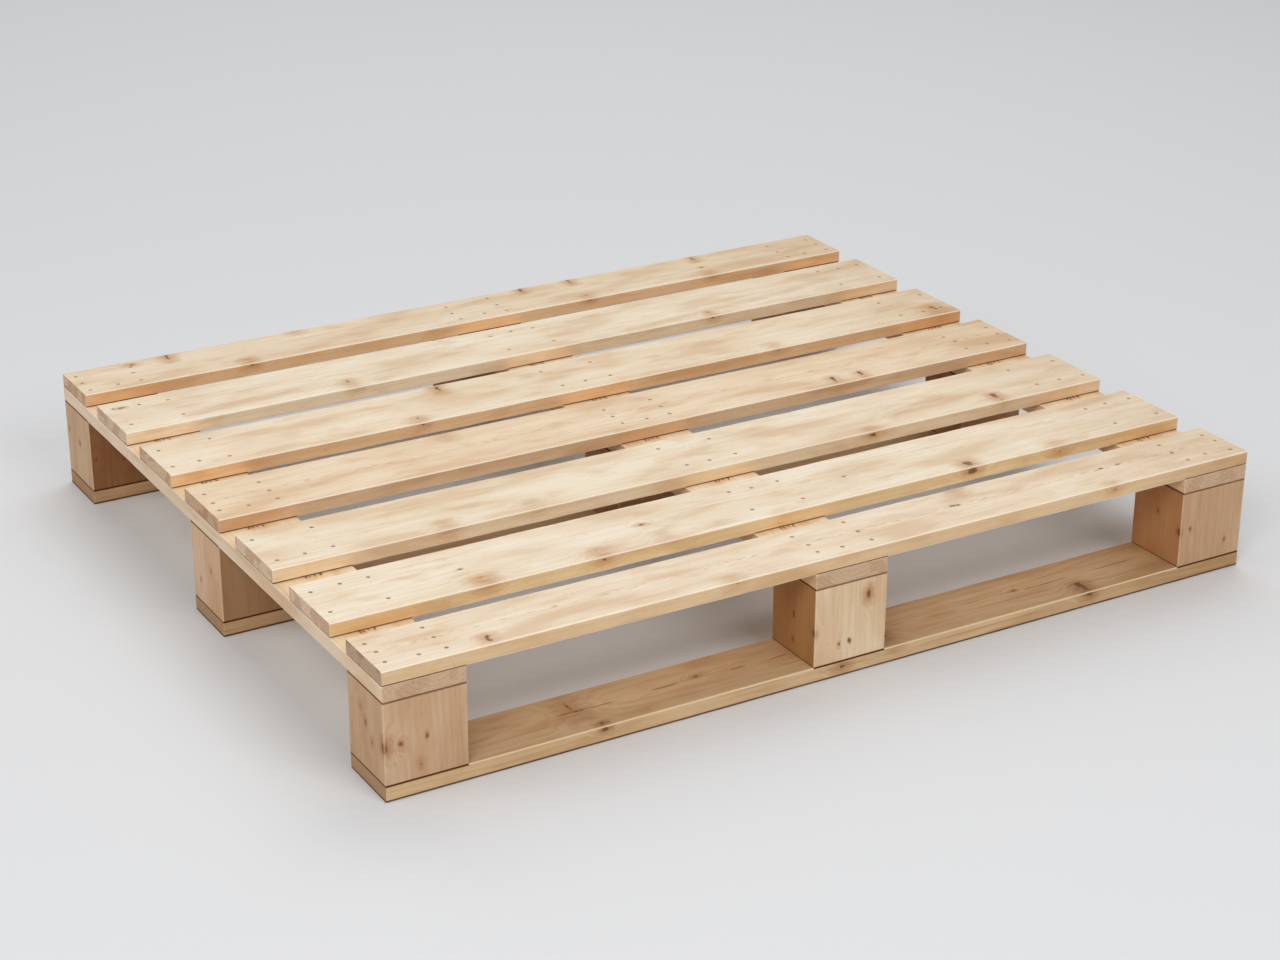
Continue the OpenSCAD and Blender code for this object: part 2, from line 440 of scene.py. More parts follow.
    def pith_flecks(self, aside_mm: float) -> None:
        """Lays on the line of short pale and dark flecks where the cut meets the pith.

        Args:
            aside_mm: how far the line lies from the board's middle.
        """
        across = add_node(self.tree, "ShaderNodeSeparateXYZ", {0: self.own}).outputs[1]
        aside = add_node(self.tree, "ShaderNodeMath", {0: across, 1: aside_mm * MM},
                         operation="SUBTRACT")
        off = add_node(self.tree, "ShaderNodeMath", {0: aside.outputs[0]}, operation="ABSOLUTE")
        band = add_node(self.tree, "ShaderNodeMapRange",
                        {"Value": off.outputs[0], "From Min": 5 * MM, "From Max": 1 * MM},
                        interpolation_type="SMOOTHSTEP")
        dashes = add_node(self.tree, "ShaderNodeMath",
                          {0: self.pattern(self.finish.dash_mm, 1.0, 6.0), 1: 0.5}, operation="SUBTRACT")
        near = add_node(self.tree, "ShaderNodeMath", {0: dashes.outputs[0], 1: band.outputs[0]},
                        operation="MULTIPLY").outputs[0]
        # Either side of the noise's mean, the dashes are dark and pale in turn.
        self.lay_where(near, 0.05, 0.14, self.finish.dash_share, self.finish.stain)
        self.lay_where(near, -0.05, -0.14, 0.6, self.finish.pale)

    def cuts(self, late: bpy.types.NodeSocket) -> bpy.types.NodeSocket:
        """Tints the long edges with painted shade and bounce light, shows the ends' cut fibres, and paints
        shade on the faces inside the pallet.

        Args:
            late: how much summer growth is at a point.

        Returns:
            Whether a point is on an end.
        """
        tree, finish = self.tree, self.finish
        half = self.timber.size / 2
        reach = add_node(tree, "ShaderNodeVectorMath", {0: self.own}, operation="ABSOLUTE").outputs[0]
        out = add_node(tree, "ShaderNodeSeparateXYZ", {0: reach}).outputs
        # The long edges get a painted shade and warm bounce light.
        self.lay_where(out[1], half.y - 0.40 * MM, half.y - 0.15 * MM, 1.0, self.timber.edge or finish.edge,
                       "MULTIPLY")
        # The timber grows darker towards one end along the grain.
        along = add_node(tree, "ShaderNodeSeparateXYZ", {0: self.own}).outputs[0]
        self.lay_where(along, 0.6 * half.x, 0.95 * half.x, 1.0, finish.one_end_tint, "MULTIPLY")
        # Faces that lie on the pallet's own outside, or within an edge's rounding of it, stay bright; all
        # other faces get a painted shade.
        corner = Vector(cad_bounds[1]) - Vector((1, 1, 1)) * 1.2 * MM
        sides = add_node(tree, "ShaderNodeVectorMath", {0: self.place}, operation="ABSOLUTE").outputs[0]
        past = add_node(tree, "ShaderNodeVectorMath", {0: sides, 1: corner},
                        operation="SUBTRACT").outputs[0]
        each = add_node(tree, "ShaderNodeSeparateXYZ", {0: past}).outputs
        outside = add_node(tree, "ShaderNodeMath", {0: each[0], 1: each[1]},
                           operation="MAXIMUM").outputs[0]
        outside = add_node(tree, "ShaderNodeMath", {0: outside, 1: each[2]},
                           operation="MAXIMUM").outputs[0]
        # The faces inside the pallet get a painted shade here.
        self.lay_where(outside, 0.3 * MM, -0.3 * MM, 1.0, self.timber.inner or finish.inside_shade, "MULTIPLY")

        on_end = add_node(tree, "ShaderNodeMapRange",
                          {"Value": out[0], "From Min": half.x - 0.5 * MM,
                           "From Max": half.x - 0.2 * MM}).outputs[0]
        self.lay(on_end, self.end_grain(late))
        return on_end

    def edges_and_joints(self) -> None:
        """Paints a highlight on the long edges, and lays dark lines, dirty wood with painted shade, in the
        joints and where a timber meets the ground.
        """
        tree, finish, timber = self.tree, self.finish, self.timber
        half = timber.size / 2
        reach = add_node(tree, "ShaderNodeVectorMath", {0: self.own}, operation="ABSOLUTE").outputs[0]
        depth = add_node(tree, "ShaderNodeVectorMath", {0: half, 1: reach},
                         operation="SUBTRACT").outputs[0]
        under = add_node(tree, "ShaderNodeSeparateXYZ", {0: depth}).outputs
        near = add_node(tree, "ShaderNodeMath", {0: under[1], 1: under[2]},
                        operation="MAXIMUM").outputs[0]
        # The pale line along the long edges is a painted highlight. Each pair of lengths is where a line
        # starts to show and where it shows fully, from the edge.
        self.lay_where(near, 1.9 * MM, 0.9 * MM, finish.arris_highlight_share, finish.arris_highlight)
        # Dark lines of dirt and painted shade: the distance, where the line starts to show and shows fully,
        # and how much of it shows.
        lines: list[tuple[bpy.types.NodeSocket, float, float, float]] = []
        if finish.seam_share:
            lines.append((under[0], 1.4 * MM, 0.8 * MM, finish.seam_share))
        # Where a timber stands on the ground: a dark line of dirt with a painted contact shadow.
        if timber.low.z < 1 * MM:
            low = add_node(tree, "ShaderNodeSeparateXYZ", {0: self.place}).outputs[2]
            side = add_node(tree, "ShaderNodeMath", {0: under[0], 1: under[1]},
                            operation="MINIMUM").outputs[0]
            ground = add_node(tree, "ShaderNodeMath", {0: low, 1: side}, operation="MAXIMUM").outputs[0]
            lines.append((ground, 3.2 * MM, 2.0 * MM, 0.95))
        for value, start, full, share in lines:
            self.dirt_and_shade.append(add_node(tree, "ShaderNodeMapRange",
                                      {"Value": value, "From Min": start, "From Max": full,
                                       "To Max": share}).outputs[0])
        # Where a board sits on the next timber: a dark line of dirt and painted shade.
        if timber.seat is not None:
            self.dirt_and_shade.append(self.seats(*timber.seat))
        for dirt_and_shade_line in self.dirt_and_shade:
            self.lay(dirt_and_shade_line, finish.joint)

    def seats(self, outer: float, half_length: float, side: float) -> bpy.types.NodeSocket:
        """Finds the dark joint lines at the three seats of a board, dirty wood with painted shade where it
        meets the next timber.

        Args:
            outer: how far the outer seats lie from the middle one.
            half_length: half of a seat's length.
            side: 1 for seats on top of the board, -1 for seats under it.

        Returns:
            How dark the joint is at a point.
        """
        tree = self.tree
        own = add_node(tree, "ShaderNodeSeparateXYZ", {0: self.own}).outputs
        along = add_node(tree, "ShaderNodeMath", {0: own[0]}, operation="ABSOLUTE").outputs[0]
        past = add_node(tree, "ShaderNodeMath", {0: along, 1: outer}, operation="SUBTRACT").outputs[0]
        away = add_node(tree, "ShaderNodeMath", {0: past}, operation="ABSOLUTE").outputs[0]
        nearest = add_node(tree, "ShaderNodeMath", {0: along, 1: away}, operation="MINIMUM").outputs[0]
        seated = add_node(tree, "ShaderNodeMapRange",
                          {"Value": nearest, "From Min": half_length + 0.5 * MM,
                           "From Max": half_length - 0.5 * MM}).outputs[0]
        height = add_node(tree, "ShaderNodeMath", {0: own[2], 1: side}, operation="MULTIPLY").outputs[0]
        top = self.timber.size.z / 2
        line = add_node(tree, "ShaderNodeMapRange",
                        {"Value": height, "From Min": top - 2.1 * MM,
                         "From Max": top - 1.2 * MM}).outputs[0]
        return add_node(tree, "ShaderNodeMath", {0: seated, 1: line}, operation="MULTIPLY").outputs[0]

    def end_grain(self, late: bpy.types.NodeSocket) -> bpy.types.NodeSocket:
        """Makes the colour of the cut fibres at an end.

        Args:
            late: how much summer growth is at a point.

        Returns:
            The colour.
        """
        tree, finish = self.tree, self.finish
        # Damp patches show to a little under half, and have a hard rim.
        wet = add_node(tree, "ShaderNodeMapRange",
                       {"Value": self.pattern(DAMP, 1.0, 8.0), "From Min": 0.50, "From Max": 0.56,
                        "To Min": 0.0, "To Max": 0.45}, interpolation_type="SMOOTHSTEP")
        base = add_node(tree, "ShaderNodeMix",
                        {"Factor": wet.outputs[0], "A": linear(finish.end), "B": linear(finish.end_patch)},
                        data_type="RGBA").outputs["Result"]
        base = add_node(tree, "ShaderNodeMix", {"Factor": 1.0, "A": base, "B": linear(self.timber.end)},
                        data_type="RGBA", blend_type="MULTIPLY").outputs["Result"]
        pores = self.pattern(PORES, 2.0, 7.0)
        # Pores and rings change the colour by up to a seventh.
        pitted = add_node(tree, "ShaderNodeMapRange",
                          {"Value": pores, "From Min": 0.32, "From Max": 0.68,
                           "To Min": 0.86, "To Max": 1.06})
        ringed = add_node(tree, "ShaderNodeMath", {0: late, 1: -0.09, 2: pitted.outputs[0]},
                          operation="MULTIPLY_ADD")
        return add_node(tree, "ShaderNodeMix", {"Factor": 1.0, "A": base, "B": ringed.outputs[0]},
                        data_type="RGBA", blend_type="MULTIPLY").outputs["Result"]

    def build(self) -> bpy.types.Material:
        """Builds the whole material.

        Returns:
            The material.
        """
        tree, finish = self.tree, self.finish
        years, most = self.branches(self.trunk())
        late = self.summer_lines(years)
        self.figure(late)
        fibre = self.pattern(FIBRES, 3.0, 9.0)
        # Fibres change the colour by a few hundredths.
        lines = add_node(tree, "ShaderNodeMapRange",
                         {"Value": fibre, "From Min": 0.3, "From Max": 0.7,
                          "To Min": 0.965, "To Max": 1.02})
        self.lay(1.0, lines.outputs[0], "MULTIPLY")
        self.lay(1.0, self.timber.tone, "MULTIPLY")
        on_end = self.cuts(late)
        if most:
            # Resin follows the fibres, so its stain is streaked. The factor makes up for the streaks' mean.
            streak = self.pattern(STREAKS, 2.0, 10.0)
            grained = add_node(tree, "ShaderNodeMath", {0: most["Halo"], 1: streak},
                               operation="MULTIPLY")
            stained = add_node(tree, "ShaderNodeMath", {0: grained.outputs[0], 1: 1.7},
                               operation="MULTIPLY",
                               use_clamp=True)
            self.lay(stained.outputs[0], finish.stain)
            self.lay(most["Core"], finish.knot)
            rim = add_node(tree, "ShaderNodeMath", {0: most["Rim"], 1: 0.7}, operation="MULTIPLY")
            self.lay(rim.outputs[0], finish.bark)
        self.edges_and_joints()
        skin = add_node(tree, "ShaderNodeBsdfPrincipled",
                        {"Base Color": self.wood, "IOR": 1.5, "Specular IOR Level": SHEEN})
        shine: bpy.types.NodeSocket | float = SHEEN
        for dirt_and_shade_line in self.dirt_and_shade:
            clean = add_node(tree, "ShaderNodeMath", {0: 1.0, 1: dirt_and_shade_line}, operation="SUBTRACT")
            shine = add_node(tree, "ShaderNodeMath", {0: clean.outputs[0], 1: shine},
                             operation="MULTIPLY").outputs[0]
        if self.dirt_and_shade:
            tree.links.new(shine, skin.inputs["Specular IOR Level"])
        # Cut ends are duller than planed faces, and fibres vary both.
        rough = add_node(tree, "ShaderNodeMapRange",
                         {"Value": on_end, "To Min": finish.roughness - 0.06, "To Max": 0.82})
        uneven = add_node(tree, "ShaderNodeMath", {0: fibre, 1: 0.12, 2: rough.outputs[0]},
                          operation="MULTIPLY_ADD")
        tree.links.new(uneven.outputs[0], skin.inputs["Roughness"])
        # Hard summer growth stands a little proud of the planed face.
        relief = add_node(tree, "ShaderNodeMath", {0: late, 1: 0.4, 2: fibre}, operation="MULTIPLY_ADD")
        bumps = add_node(tree, "ShaderNodeBump",
                         {"Height": relief.outputs[0], "Strength": 0.5, "Distance": 0.07 * MM})
        tree.links.new(bumps.outputs[0], skin.inputs["Normal"])
        add_node(tree, "ShaderNodeOutputMaterial", {0: skin.outputs[0]})
        return self.material


# ---------------------------------------------------------------------------------------------
# Timbers


GRID_MM = 8.0  # spacing of the points on a timber's faces
EDGE_LOOPS = 3  # how many rows of faces round an edge take from each side
EDGE_WEAR = 0.45  # how unevenly an edge is worn


@dataclass
class Timber:
    """One board or block, dressed in pine that grew round a pith of its own."""

    node: str
    grain: Grain
    finish: PineFinish
    slot: str
    seed: int
    knots: tuple[Knot, ...] = ()
    tone: str = "#FFFFFF"  # its own shade of the finish
    edge: str | None = None  # its own painted shade and bounce light on the long edges
    end: str = "#FFFFFF"  # its own tint of the ends
    inner: str | None = None  # its own painted shade on the faces inside the pallet
    heart_mm: tuple[float, float] = (12.0, -48.0)  # the pith, across and up from the timber's middle
    lean: tuple[float, float] = (0.006, 0.010)  # how far the pith strays for each metre along
    edge_radius_mm: float = 1.8
    end_radius_mm: float = 0.6
    fleck_mm: float | None = None  # a line of resin flecks, across from the middle
    seat: tuple[float, float, float] | None = None  # see PineMaterial.seats
    low: Vector = field(init=False)
    high: Vector = field(init=False)

    def __post_init__(self) -> None:
        """Takes the timber's place and size from its CAD node."""
        self.low, self.high = (Vector(corner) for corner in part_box(self.node))

    @property
    def centre(self) -> Vector:
        """The middle of the timber."""
        return (self.low + self.high) / 2

    @property
    def size(self) -> Vector:
        """The timber's length along the grain, its width and its thickness."""
        turned = self.grain.turn.transposed() @ (self.high - self.low)
        return Vector(map(abs, turned))

    def to_own_axes(self, knot: Knot) -> tuple[Vector, Vector]:
        """Puts a knot in the timber's own axes.

        Args:
            knot: the knot, measured from the timber's lowest corner.

        Returns:
            Its centre in metres from the timber's middle, and its heading.
        """
        back = self.grain.turn.transposed()
        place = self.low + Vector(knot.at) * MM
        return back @ (place - self.centre), back @ Vector(knot.heading).normalized()

    def build(self, shape: bpy.types.GeometryNodeTree, holes: bpy.types.Object,
              branch: bpy.types.ShaderNodeTree) -> bpy.types.Object:
        """Builds and dresses the timber, and puts it in place of its CAD node.

        Args:
            shape: the tree that makes a rounded timber.
            holes: an object with the shape of this timber's nail holes.
            branch: the node group for one branch.

        Returns:
            The finished piece.
        """
        size = self.size
        counts = [round(length / (GRID_MM * MM)) + 2 * EDGE_LOOPS + 1 for length in size]
        piece = grown(f"timber_{self.node}", shape, {
            "Size": size,
            "Radii": Vector((self.end_radius_mm, self.edge_radius_mm, self.edge_radius_mm)) * MM,
            "Place": self.centre, "Turn": self.grain.value, "Columns": counts[0], "Rows": counts[1],
            "Layers": counts[2], "Seed": self.seed, "Wear": EDGE_WEAR, "Holes": holes,
            "Material": PineMaterial(self, branch).build(),
        })
        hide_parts(self.node)
        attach(piece, "root")
        return piece


def grown(name: str, tree: bpy.types.GeometryNodeTree, values: dict,
          start: bpy.types.Mesh | None = None) -> bpy.types.Object:
    """Runs a Geometry Nodes tree and keeps what it makes as a plain mesh.

    Args:
        name: the new object's name.
        tree: the tree to run.
        values: what its inputs hold, by name.
        start: the mesh that goes into the tree, if it takes one.

    Returns:
        The object, with no modifier left on it.
    """
    seed_mesh = start or bpy.data.meshes.new(f"{name}_start")
    worker = bpy.data.objects.new(f"{name}_worker", seed_mesh)
    bpy.context.collection.objects.link(worker)
    modifier = worker.modifiers.new("shape", "NODES")
    modifier.node_group = tree
    for socket in tree.interface.items_tree:
        if socket.item_type == "SOCKET" and socket.in_out == "INPUT" and socket.name in values:
            value = values[socket.name]
            modifier[socket.identifier] = tuple(value) if isinstance(value, Vector) else value
    worker.update_tag()
    seen = worker.evaluated_get(bpy.context.evaluated_depsgraph_get())
    mesh = bpy.data.meshes.new_from_object(seen, preserve_all_data_layers=True,
                                           depsgraph=bpy.context.evaluated_depsgraph_get())
    mesh.name = name
    bpy.data.objects.remove(worker)
    if start is None:
        bpy.data.meshes.remove(seed_mesh)
    piece = bpy.data.objects.new(name, mesh)
    bpy.context.collection.objects.link(piece)
    return piece


def timber_tree() -> bpy.types.GeometryNodeTree:
    """Makes the tree for a timber: a block with rounded, slightly worn edges, less its nail holes.

    Returns:
        The tree. Its inputs are named for the timber's sizes.
    """
    tree = bpy.data.node_groups.new("rounded_timber", "GeometryNodeTree")
    for name, kind in (("Size", "Vector"), ("Radii", "Vector"), ("Place", "Vector"), ("Turn", "Vector"),
                       ("Columns", "Int"), ("Rows", "Int"), ("Layers", "Int"), ("Seed", "Int"),
                       ("Wear", "Float"), ("Holes", "Object"), ("Material", "Material")):
        tree.interface.new_socket(name, in_out="INPUT", socket_type=f"NodeSocket{kind}")
    tree.interface.new_socket("Geometry", in_out="OUTPUT", socket_type="NodeSocketGeometry")
    given = add_node(tree, "NodeGroupInput").outputs
    # A cube from -1 to 1, so that a point's place on it says how far out it lies each way.
    cube = add_node(tree, "GeometryNodeMeshCube",
                    {"Size": (2.0, 2.0, 2.0), "Vertices X": given["Columns"],
                     "Vertices Y": given["Rows"], "Vertices Z": given["Layers"]})
    place = add_node(tree, "GeometryNodeInputPosition").outputs[0]
    out = add_node(tree, "ShaderNodeVectorMath", {0: place}, operation="ABSOLUTE").outputs[0]
    way = add_node(tree, "ShaderNodeVectorMath", {0: place}, operation="SIGN").outputs[0]
    counts = add_node(tree, "ShaderNodeCombineXYZ",
                      {0: given["Columns"], 1: given["Rows"], 2: given["Layers"]}).outputs[0]
    spans = add_node(tree, "ShaderNodeVectorMath", {0: counts, 1: (1.0, 1.0, 1.0)},
                     operation="SUBTRACT").outputs[0]
    zone = add_node(tree, "ShaderNodeVectorMath", {0: (2.0 * EDGE_LOOPS,) * 3, 1: spans},
                    operation="DIVIDE").outputs[0]
    start = add_node(tree, "ShaderNodeVectorMath", {0: (1.0, 1.0, 1.0), 1: zone},
                     operation="SUBTRACT").outputs[0]
    half = add_node(tree, "ShaderNodeVectorMath", {0: given["Size"], "Scale": 0.5},
                    operation="SCALE").outputs[0]
    rough_place = add_node(tree, "ShaderNodeVectorMath", {0: place, 1: half},
                           operation="MULTIPLY").outputs[0]
    # An edge's radius wanders about every 50 mm, between a third of what it should be and about twice that.
    wear = add_node(tree, "ShaderNodeTexNoise",
                    {"Vector": rough_place, "W": given["Seed"], "Scale": 22.0, "Detail": 3.0},
                    noise_dimensions="4D").outputs[0]
    centred = add_node(tree, "ShaderNodeMath", {0: wear, 1: 0.5}, operation="SUBTRACT").outputs[0]
    swing = add_node(tree, "ShaderNodeMath", {0: centred, 1: given["Wear"]},
                     operation="MULTIPLY").outputs[0]
    factor = add_node(tree, "ShaderNodeMath", {0: swing, 1: 4.0, 2: 1.0},
                      operation="MULTIPLY_ADD").outputs[0]
    held = add_node(tree, "ShaderNodeClamp", {"Value": factor, "Min": 0.35, "Max": 2.2}).outputs[0]
    radii = add_node(tree, "ShaderNodeVectorMath", {0: given["Radii"], "Scale": held},
                     operation="SCALE").outputs[0]
    flat = add_node(tree, "ShaderNodeVectorMath", {0: half, 1: radii}, operation="SUBTRACT").outputs[0]
    share = add_node(tree, "ShaderNodeVectorMath", {0: out, 1: start}, operation="DIVIDE").outputs[0]
    inside = add_node(tree, "ShaderNodeVectorMath", {0: share, 1: (1.0, 1.0, 1.0)},
                      operation="MINIMUM").outputs[0]
    inner = add_node(tree, "ShaderNodeVectorMath", {0: inside, 1: flat},
                     operation="MULTIPLY").outputs[0]
    inner = add_node(tree, "ShaderNodeVectorMath", {0: inner, 1: way}, operation="MULTIPLY").outputs[0]
    over = add_node(tree, "ShaderNodeVectorMath", {0: out, 1: start}, operation="SUBTRACT").outputs[0]
    over = add_node(tree, "ShaderNodeVectorMath", {0: over, 1: (0.0, 0.0, 0.0)},
                    operation="MAXIMUM").outputs[0]
    over = add_node(tree, "ShaderNodeVectorMath", {0: over, 1: zone}, operation="DIVIDE").outputs[0]
    over = add_node(tree, "ShaderNodeVectorMath", {0: over, 1: way}, operation="MULTIPLY").outputs[0]
    round_way = add_node(tree, "ShaderNodeVectorMath", {0: over}, operation="NORMALIZE").outputs[0]
    moved = add_node(tree, "ShaderNodeVectorMath", {0: round_way, 1: radii, 2: inner},
                     operation="MULTIPLY_ADD").outputs[0]
    shaped = add_node(tree, "GeometryNodeSetPosition",
                      {"Geometry": cube.outputs["Mesh"], "Position": moved})
    turn = add_node(tree, "FunctionNodeEulerToRotation", {0: given["Turn"]}).outputs[0]
    placed = add_node(tree, "GeometryNodeTransform",
                      {"Geometry": shaped.outputs[0], "Translation": given["Place"], "Rotation": turn})
    holes = add_node(tree, "GeometryNodeObjectInfo", {"Object": given["Holes"]})
    cut = add_node(tree, "GeometryNodeMeshBoolean",
                   {"Mesh 1": placed.outputs[0], "Mesh 2": holes.outputs["Geometry"]},
                   operation="DIFFERENCE", solver="EXACT")
    # Flat faces are shaded flat and the rounded edges smooth.
    facing = add_node(tree, "GeometryNodeInputNormal").outputs[0]
    straight = add_node(tree, "ShaderNodeVectorMath", {0: facing}, operation="ABSOLUTE").outputs[0]
    ways = add_node(tree, "ShaderNodeSeparateXYZ", {0: straight}).outputs
    most = add_node(tree, "ShaderNodeMath", {0: ways[0], 1: ways[1]}, operation="MAXIMUM").outputs[0]
    most = add_node(tree, "ShaderNodeMath", {0: most, 1: ways[2]}, operation="MAXIMUM").outputs[0]
    bent = add_node(tree, "ShaderNodeMath", {0: most, 1: 0.9999}, operation="LESS_THAN").outputs[0]
    smooth = add_node(tree, "GeometryNodeSetShadeSmooth", {0: cut.outputs["Mesh"], "Shade Smooth": bent})
    real = add_node(tree, "GeometryNodeRealizeInstances", {0: smooth.outputs[0]})
    dressed = add_node(tree, "GeometryNodeSetMaterial",
                       {"Geometry": real.outputs[0], "Material": given["Material"]})
    add_node(tree, "NodeGroupOutput", {0: dressed.outputs[0]})
    return tree


# ---------------------------------------------------------------------------------------------
# Nails


NAIL_APART = 7 * MM  # heads further apart than this are two nails
HEAD_THICKNESS = 1.2 * MM
SHANK_RADIUS = 1.4 * MM
POINT_LENGTH = 4 * MM
HOLE_ROOM = 0.1 * MM  # gap all round a nail
HOLE_PAST_FACE = 1.5 * MM  # how far a hole's cut runs past the face that it opens
LEVEL = 0.01 * MM  # heights closer than this are the same


class Driven(Enum):
    """Which way a nail was driven, as the turn of one drawn pointing down."""

    DOWN = (0.0, 0.0, 0.0)
    UP = (math.pi, 0.0, 0.0)


def turned(name: str, profile: list[tuple[float, float]], sides: int = 16) -> bpy.types.Object:
    """Makes a closed turned shape about the Z axis.

    Args:
        name: the object's name.
        profile: (radius, height) from the top's middle to the bottom's. Both ends lie on the axis.
        sides: how many sides the shape has round.

    Returns:
        The object, linked to no collection.
    """
    work = bmesh.new()
    rings = []
    for radius, height in profile:
        turns = [2 * math.pi * i / sides for i in range(sides)] if radius else [0.0]
        rings.append([work.verts.new((radius * math.cos(a), radius * math.sin(a), height)) for a in turns])
    for upper, lower in zip(rings, rings[1:]):
        for i in range(sides):
            corners = [upper[i % len(upper)], lower[i % len(lower)],
                       lower[(i + 1) % len(lower)], upper[(i + 1) % len(upper)]]
            work.faces.new(dict.fromkeys(corners))
    bmesh.ops.recalc_face_normals(work, faces=work.faces)
    mesh = bpy.data.meshes.new(name)
    work.to_mesh(mesh)
    work.free()
    mesh.shade_smooth()
    return bpy.data.objects.new(name, mesh)


def driven_tree() -> bpy.types.GeometryNodeTree:
    """Makes the tree that drives a nail, or cuts its hole, at every point of a mesh.

    Returns:
        The tree.
    """
    tree = bpy.data.node_groups.new("driven_nails", "GeometryNodeTree")
    tree.interface.new_socket("Geometry", in_out="INPUT", socket_type="NodeSocketGeometry")
    for name, kind in (("Shape", "Object"), ("Turn", "Vector"), ("Seed", "Int"), ("Material", "Material")):
        tree.interface.new_socket(name, in_out="INPUT", socket_type=f"NodeSocket{kind}")
    tree.interface.new_socket("Geometry", in_out="OUTPUT", socket_type="NodeSocketGeometry")
    given = add_node(tree, "NodeGroupInput").outputs
    shape = add_node(tree, "GeometryNodeObjectInfo", {"Object": given["Shape"], "As Instance": True})
    spin = add_node(tree, "FunctionNodeRandomValue",
                    {0: (0.0, 0.0, 0.0), 1: (0.0, 0.0, math.tau), "Seed": given["Seed"]},
                    data_type="FLOAT_VECTOR")
    turn = add_node(tree, "ShaderNodeVectorMath", {0: spin.outputs[0], 1: given["Turn"]},
                    operation="ADD")
    rotation = add_node(tree, "FunctionNodeEulerToRotation", {0: turn.outputs[0]})
    many = add_node(tree, "GeometryNodeInstanceOnPoints",
                    {"Points": given["Geometry"], "Instance": shape.outputs["Geometry"],
                     "Rotation": rotation.outputs[0]})
    real = add_node(tree, "GeometryNodeRealizeInstances", {0: many.outputs[0]})
    dressed = add_node(tree, "GeometryNodeSetMaterial",
                       {"Geometry": real.outputs[0], "Material": given["Material"]})
    add_node(tree, "NodeGroupOutput", {0: dressed.outputs[0]})
    return tree


@dataclass
class NailSet:
    """The nails of one CAD node: machine-driven wire nails with a flat head."""

    node: str
    driven: Driven
    seed: int
    heads: list[Vector] = field(init=False)
    length: float = field(init=False)
    head_radius: float = field(init=False)

    def __post_init__(self) -> None:
        """Finds each nail's head and the nails' length from the CAD node."""
        low, high = (Vector(corner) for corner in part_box(self.node))
        self.length = high.z - low.z
        top = high.z if self.driven is Driven.DOWN else low.z
        rims: list[list[Vector]] = []
        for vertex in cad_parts[self.node].data.vertices:
            if abs(vertex.co.z - top) < LEVEL:
                close = next((rim for rim in rims if (rim[0] - vertex.co).length < NAIL_APART), None)
                if close is None:
                    rims.append([vertex.co.copy()])
                else:
                    close.append(vertex.co.copy())
        middles = []
        for rim in rims:
            lows = Vector(min(p[i] for p in rim) for i in range(3))
            highs = Vector(max(p[i] for p in rim) for i in range(3))
            middles.append((lows + highs) / 2)
            self.head_radius = (highs.x - lows.x) / 2
        self.heads = middles

    @property
    def turn(self) -> tuple[float, float, float]:
        """The turn of a nail drawn pointing down."""
        return self.driven.value

    def meets(self, timber: Timber) -> list[Vector]:
        """Finds which of this set's nails go into a timber.

        Args:
            timber: the timber.

        Returns:
            Their heads.
        """
        tip = -self.length if self.driven is Driven.DOWN else self.length
        return [head for head in self.heads
                if timber.low.x < head.x < timber.high.x and timber.low.y < head.y < timber.high.y
                and min(head.z, head.z + tip) < timber.high.z and max(head.z, head.z + tip) > timber.low.z]

    def spread(self, name: str, tree: bpy.types.GeometryNodeTree, shape: bpy.types.Object,
               places: list[Vector], material: bpy.types.Material | None) -> bpy.types.Object:
        """Puts a shape at some of this set's nails.

        Args:
            name: the new object's name.
            tree: the tree that drives nails.
            shape: the shape to repeat, drawn pointing down from its head.
            places: the heads' places.
            material: what it is dressed in, or None.

        Returns:
            The new object.
        """
        points = bpy.data.meshes.new(f"{name}_points")
        points.from_pydata(places, [], [])
        values = {"Shape": shape, "Turn": self.turn, "Seed": self.seed}
        if material:
            values["Material"] = material
        return grown(name, tree, values, start=points)

    def nail(self) -> bpy.types.Object:
        """Makes one nail of this set: a flat head with a worn rim, a grooved shank and a point.

        Returns:
            The nail, drawn pointing down from its head.
        """
        head, shank = self.head_radius, SHANK_RADIUS
        profile = [(0.0, 0.0), (head - 0.35 * MM, -0.02 * MM), (head - 0.08 * MM, -0.15 * MM),
                   (head, -0.4 * MM), (head, -0.9 * MM), (shank, -HEAD_THICKNESS)]
        # Three grooves, 2 mm apart, that the nail was gripped by while it was made.
        for ring in range(3):
            depth = (4.0 + 2.0 * ring) * MM
            profile += [(shank, -depth), (shank - 0.2 * MM, -depth - 0.4 * MM), (shank, -depth - 0.8 * MM)]
        profile += [(shank, POINT_LENGTH - self.length), (0.0, -self.length)]
        return turned(f"{self.node}_nail", profile, sides=12)

    def hole(self) -> bpy.types.Object:
        """Makes the hole of one nail: a recess that opens past the face, and a bore.

        Returns:
            The hole, drawn as its nail is.
        """
        head, shank, room = self.head_radius, SHANK_RADIUS, HOLE_ROOM
        return turned(f"{self.node}_hole", [
            (0.0, HOLE_PAST_FACE), (head + room, HOLE_PAST_FACE), (head + room, -HEAD_THICKNESS),
            (shank + room, -HEAD_THICKNESS), (shank + room, -self.length - room),
            (0.0, -self.length - room)])

    def build(self, tree: bpy.types.GeometryNodeTree, material: bpy.types.Material) -> bpy.types.Object:
        """Builds the nails in place of their CAD node.

        Args:
            tree: the tree that drives nails.
            material: the nails' steel.

        Returns:
            The finished piece.
        """
        one = self.nail()
        piece = self.spread(f"driven_{self.node}", tree, one, self.heads, material)
        bpy.data.objects.remove(one)
        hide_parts(self.node)
        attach(piece, "root")
        return piece


